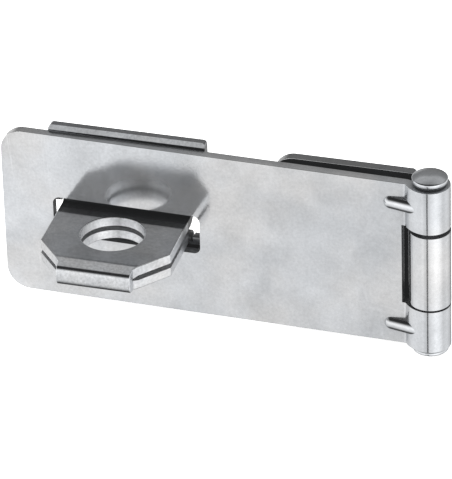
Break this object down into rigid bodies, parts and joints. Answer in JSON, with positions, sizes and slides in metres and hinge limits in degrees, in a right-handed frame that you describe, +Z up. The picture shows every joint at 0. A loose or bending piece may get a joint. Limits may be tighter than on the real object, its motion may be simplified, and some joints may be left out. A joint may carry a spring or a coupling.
{
  "type": "hasp and staple",
  "caption": "Hinged hasp with a slotted flap on a pinned mounting leaf, and a folded sheet staple whose padlock eye stands through the slot.",
  "frame": {"origin": "on the mounting plane behind the hinge pin, at the middle of the leaf's height", "axes": "+X from the flap's free end towards the hinge, +Y into the door, +Z up along the pin"},
  "size_m": [0.095, 0.0273, 0.0413],
  "materials": {
    "plated_sheet": "bright zinc plated",
    "plated_pin": "bright zinc plated"
  },
  "bodies": {
    "leaf": {"mounting_leaf": "plated_sheet"},
    "flap": {"hasp_flap": "plated_sheet", "hinge_pin": "plated_pin"},
    "staple": {"staple": "plated_sheet"}
  },
  "joints": [
    {"name": "flap_hinge", "type": "hinge", "parent": "leaf", "child": "flap", "pos_m": [0, -0.00425, 0], "axis": [0, 0, 1], "range_deg": [0, 180]},
    {"name": "staple_separation", "type": "slide", "parent": "leaf", "child": "staple", "axis": [0, 1, 0], "range_m": [0, 0.04]}
  ]
}
